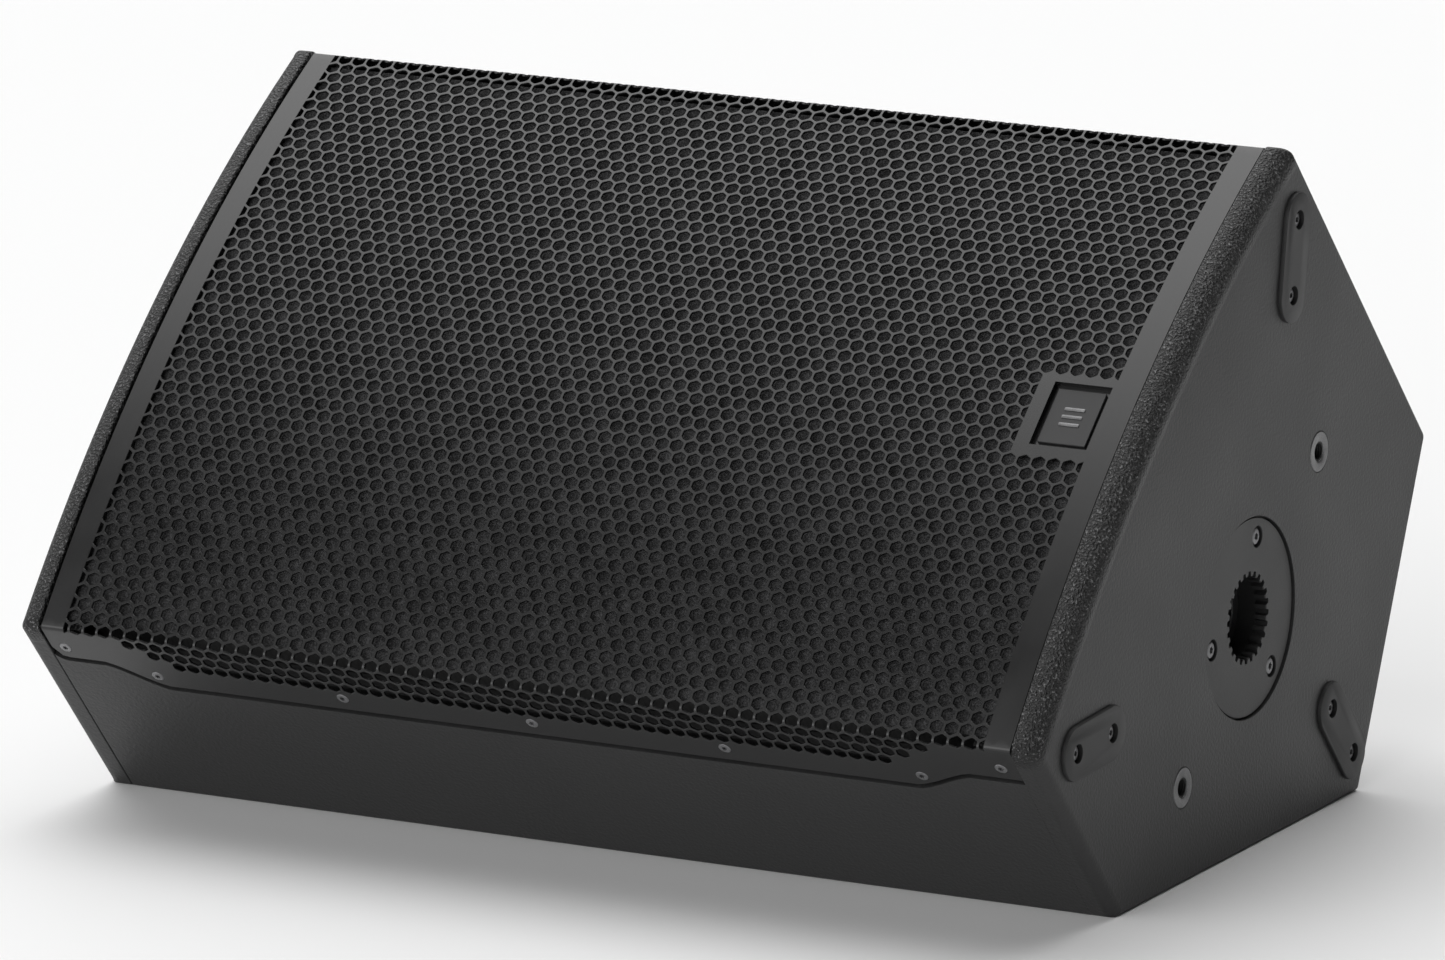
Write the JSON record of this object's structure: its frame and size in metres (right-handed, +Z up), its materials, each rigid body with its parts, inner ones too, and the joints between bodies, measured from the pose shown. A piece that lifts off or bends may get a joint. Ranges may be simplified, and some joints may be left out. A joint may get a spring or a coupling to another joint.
{
  "type": "stage monitor wedge",
  "caption": "Wedge-shaped stage floor monitor loudspeaker with a curved perforated grille, pole cup, rigging inserts, rubber end feet and a carry handle.",
  "frame": {"origin": "centre of the floor face", "axes": "+X along the cabinet towards the pole cup end, -Y towards the performer, +Z up"},
  "size_m": [0.6277, 0.4765, 0.3785],
  "materials": {
    "cabinet_paint": "black textured paint on birch plywood",
    "bare_plywood": "unfinished birch plywood",
    "baffle_paint": "flat black paint on plywood",
    "grille_steel": "satin black powder coat on perforated steel",
    "foam": "open-cell acoustic foam",
    "black_screws": "black zinc steel",
    "badge_metal": "dark anodised",
    "cup_casting": "black powder coated casting",
    "insert_zinc": "zinc plated, dulled",
    "foot_rubber": "moulded black rubber",
    "basket_steel": "black enamel",
    "cone_paper": "treated paper pulp",
    "surround_cloth": "doped cloth",
    "spider_cloth": "resin dipped cloth",
    "coil_copper": "enamelled copper winding",
    "magnet_ferrite": "ground ferrite",
    "plate_steel": "zinc plated",
    "horn_plastic": "moulded black",
    "dome_metal": "thin foil",
    "port_plastic": "moulded black",
    "plate_plastic": "fine texture, moulded",
    "socket_plastic": "glass-filled, dark blue-black",
    "switch_plastic": "red slider",
    "board": "glass-epoxy laminate",
    "ceramic_body": "cement resistor body",
    "capacitor_film": "wrapped film capacitor",
    "wire_red": "soft insulation",
    "wadding": "polyester wadding",
    "handle_rubber": "rubber over a steel bar"
  },
  "bodies": {
    "cabinet": {"right_end_panel": "cabinet_paint", "left_end_panel": "cabinet_paint", "lower_front_panel": "cabinet_paint", "floor_panel": "cabinet_paint", "rear_panel": "cabinet_paint", "upper_rear_panel": "cabinet_paint", "baffle": "baffle_paint", "baffle_cleats": "bare_plywood", "centre_brace": "bare_plywood", "grille": "grille_steel", "grille_foam": "foam", "grille_screws": "black_screws", "badge_plate": "badge_metal", "pole_cup": "cup_casting", "pole_cup_screws": "black_screws", "rigging_inserts": "insert_zinc", "end_feet": "foot_rubber", "end_foot_screws": "black_screws", "woofer_basket": "basket_steel", "woofer_gasket": "foam", "woofer_surround": "surround_cloth", "woofer_spider": "spider_cloth", "magnet_top_plate": "plate_steel", "magnet_ring": "magnet_ferrite", "magnet_back_plate": "plate_steel", "woofer_screws": "black_screws", "horn": "horn_plastic", "horn_screws": "black_screws", "driver_body": "basket_steel", "driver_magnet_cover": "magnet_ferrite", "driver_bolts": "plate_steel", "port_tubes": "port_plastic", "input_plate": "plate_plastic", "input_plate_screws": "black_screws", "loop_sockets": "socket_plastic", "mode_switch_body": "plate_plastic", "crossover_board": "board", "crossover_coils": "coil_copper", "crossover_capacitors": "capacitor_film", "crossover_resistors": "ceramic_body", "crossover_spacers": "plate_steel", "internal_wiring": "wire_red", "damping_blanket": "wadding", "handle_cup": "plate_plastic", "handle_bar": "handle_rubber", "handle_screws": "black_screws"},
    "cone": {"woofer_cone": "cone_paper", "woofer_dust_cap": "cone_paper", "voice_coil": "coil_copper"},
    "diaphragm": {"driver_diaphragm": "dome_metal"},
    "switch": {"mode_switch_slider": "switch_plastic"}
  },
  "joints": [
    {"name": "cone_travel", "type": "slide", "parent": "cabinet", "child": "cone", "axis": [0, -0.6608, 0.7506], "range_m": [-0.005, 0.005], "stiffness_N_per_m": 3000, "deforming": ["woofer_surround", "woofer_spider"]},
    {"name": "diaphragm_travel", "type": "slide", "parent": "cabinet", "child": "diaphragm", "axis": [0, -0.6608, 0.7506], "range_m": [-0.0003, 0.0003], "stiffness_N_per_m": 150},
    {"name": "mode_switch", "type": "slide", "parent": "cabinet", "child": "switch", "axis": [1, 0, 0], "range_m": [0, 0.003]}
  ]
}
